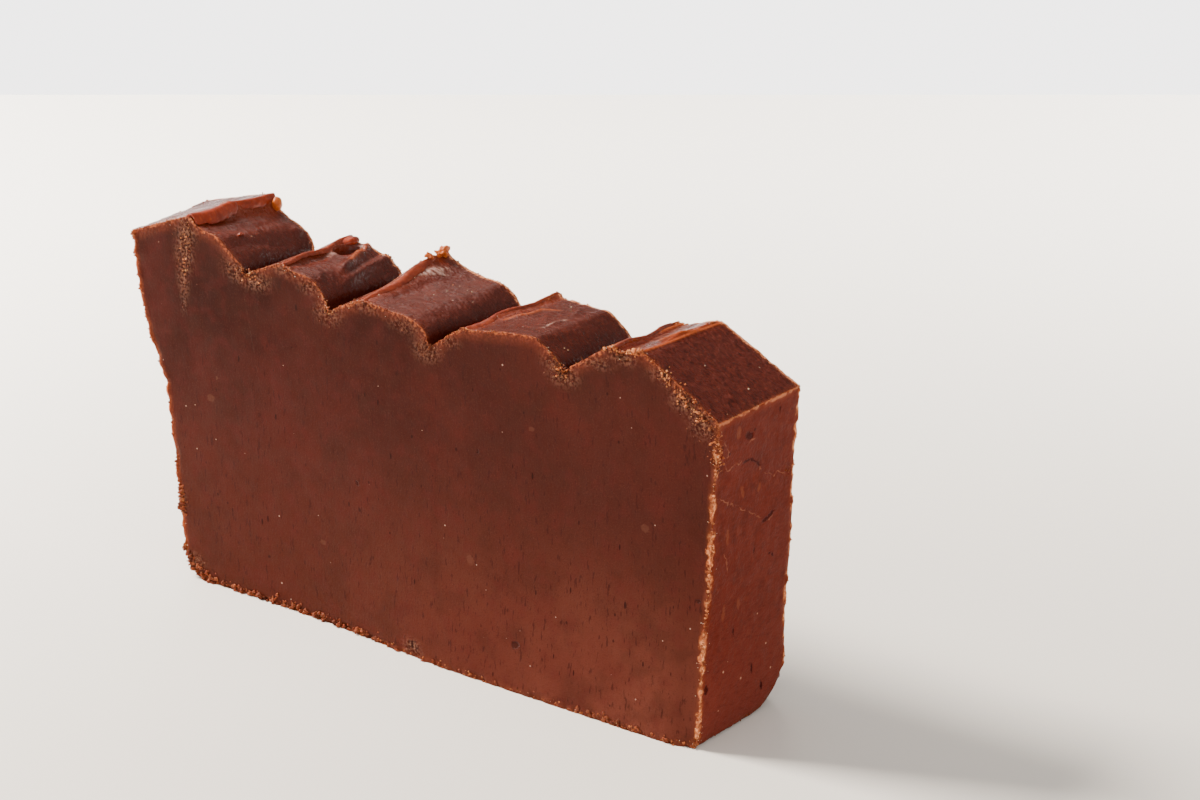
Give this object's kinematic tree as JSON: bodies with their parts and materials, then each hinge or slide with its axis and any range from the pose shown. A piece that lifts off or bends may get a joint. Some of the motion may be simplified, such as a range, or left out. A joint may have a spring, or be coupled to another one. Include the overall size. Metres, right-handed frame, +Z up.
{
  "type": "chocolate fudge slice",
  "caption": "Slice of chocolate fudge standing on its base as cut from a loaf, with flat cut faces and a row of glossy hand-folded ridges along the top.",
  "frame": {"origin": "middle of the slice's box, on the surface that it stands on", "axes": "+X along the slice, +Y through its thickness away from the front cut face, +Z up"},
  "size_m": [0.1402, 0.027, 0.074],
  "materials": {
    "fudge": "satin brown cut fudge with crumbly edges and a darker, glossier skin on top"
  },
  "bodies": {
    "root": {"fudge": "fudge"}
  },
  "joints": []
}
